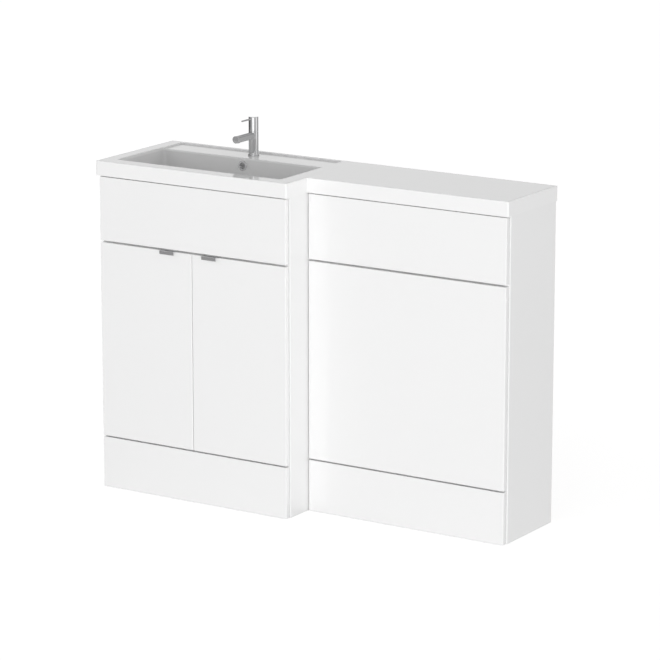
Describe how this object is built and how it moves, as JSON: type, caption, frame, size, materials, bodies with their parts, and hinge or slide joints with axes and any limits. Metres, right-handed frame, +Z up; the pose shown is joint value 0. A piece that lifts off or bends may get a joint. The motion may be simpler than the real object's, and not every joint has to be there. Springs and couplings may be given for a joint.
{
  "type": "vanity unit",
  "caption": "L-shaped bathroom unit: deep vanity cabinet with hinged doors and edge pulls, shallow back-to-wall toilet unit, one basin top with a sunken bowl and a lever mixer tap.",
  "frame": {"origin": "middle of the base of the whole part's box, on the floor", "axes": "+X along the wall from the vanity to the toilet unit, +Y to the wall behind, +Z up; the fronts face -Y"},
  "size_m": [1.2106, 0.362, 1.006],
  "materials": {
    "board_white": "board faced in gloss white",
    "basin_white": "gloss white",
    "tap_chrome": "polished",
    "pull_chrome": "polished sheet",
    "steel": "bright zinc",
    "rubber": "soft matte",
    "cartridge": "matte",
    "brass": "plain turned"
  },
  "bodies": {
    "cabinet": {"vanity_side_left": "board_white", "vanity_side_right": "board_white", "vanity_base_panel": "board_white", "vanity_front_rail": "board_white", "vanity_back_rail_upper": "board_white", "vanity_back_rail_lower": "board_white", "shelf": "board_white", "shelf_pins": "steel", "vanity_fascia": "board_white", "vanity_plinth": "board_white", "hinge_arms": "steel", "hinge_plates": "steel", "hinge_plate_screws": "steel", "door_buffers": "rubber", "wc_side_left": "board_white", "wc_side_right": "board_white", "wc_front_rail": "board_white", "wc_base_rail": "board_white", "wc_top_rail": "board_white", "wc_back_rail_upper": "board_white", "wc_back_rail_lower": "board_white", "wc_fascia": "board_white", "wc_front_panel": "board_white", "wc_plinth": "board_white", "joining_bolts": "steel", "fixing_angles": "steel", "angle_screws": "steel", "basin_top": "basin_white", "overflow_ring": "tap_chrome", "waste_body": "tap_chrome", "waste_seal": "rubber", "waste_nut": "brass", "tap_gasket": "rubber", "tap_base_ring": "tap_chrome", "tap_body": "tap_chrome", "tap_aerator": "tap_chrome", "tap_cartridge": "cartridge", "tap_cartridge_nut": "brass", "tap_stud": "steel", "tap_clamp_washer": "steel", "tap_nut": "brass"},
    "left_door_link": {"left_hinge_links": "steel"},
    "left_door": {"left_door": "board_white", "left_pull": "pull_chrome", "left_pull_screws": "steel", "left_hinge_cups": "steel", "left_cup_screws": "steel"},
    "right_door_link": {"right_hinge_links": "steel"},
    "right_door": {"right_door": "board_white", "right_pull": "pull_chrome", "right_pull_screws": "steel", "right_hinge_cups": "steel", "right_cup_screws": "steel"},
    "tap_turret": {"tap_turret": "brass"},
    "tap_head": {"tap_head": "tap_chrome", "tap_lever": "tap_chrome", "tap_spindle": "steel"},
    "waste_plug": {"waste_plug": "tap_chrome"}
  },
  "joints": [
    {"name": "left_link_pivot", "type": "hinge", "parent": "cabinet", "child": "left_door_link", "pos_m": [-0.55525, -0.149, 0.4132], "axis": [0, 0, 1], "range_deg": [0, 26.5]},
    {"name": "left_door_pivot", "type": "hinge", "parent": "left_door_link", "child": "left_door", "pos_m": [-0.58525, -0.164, 0.4132], "axis": [0, 0, -1], "range_deg": [0, 121.4]},
    {"name": "right_link_pivot", "type": "hinge", "parent": "cabinet", "child": "right_door_link", "pos_m": [-0.04025, -0.149, 0.4132], "axis": [0, 0, -1], "range_deg": [0, 26.5]},
    {"name": "right_door_pivot", "type": "hinge", "parent": "right_door_link", "child": "right_door", "pos_m": [-0.01025, -0.164, 0.4132], "axis": [0, 0, 1], "range_deg": [0, 121.4]},
    {"name": "tap_swivel", "type": "hinge", "parent": "cabinet", "child": "tap_turret", "pos_m": [-0.30325, 0.134, 0.964], "axis": [0, 0, 1], "range_deg": [-45, 45]},
    {"name": "tap_lift", "type": "hinge", "parent": "tap_turret", "child": "tap_head", "pos_m": [-0.30325, 0.138, 0.9664], "axis": [-1, 0, 0], "range_deg": [0, 20]},
    {"name": "plug_press", "type": "slide", "parent": "cabinet", "child": "waste_plug", "axis": [0, 0, 1], "range_m": [-0.008, 0], "stiffness_N_per_m": 400, "springref_m": 0.006}
  ],
  "couplings": [
    {"joint": "left_link_pivot", "follows": "left_door_pivot", "ratio": 0.21739},
    {"joint": "right_link_pivot", "follows": "right_door_pivot", "ratio": 0.21739}
  ]
}
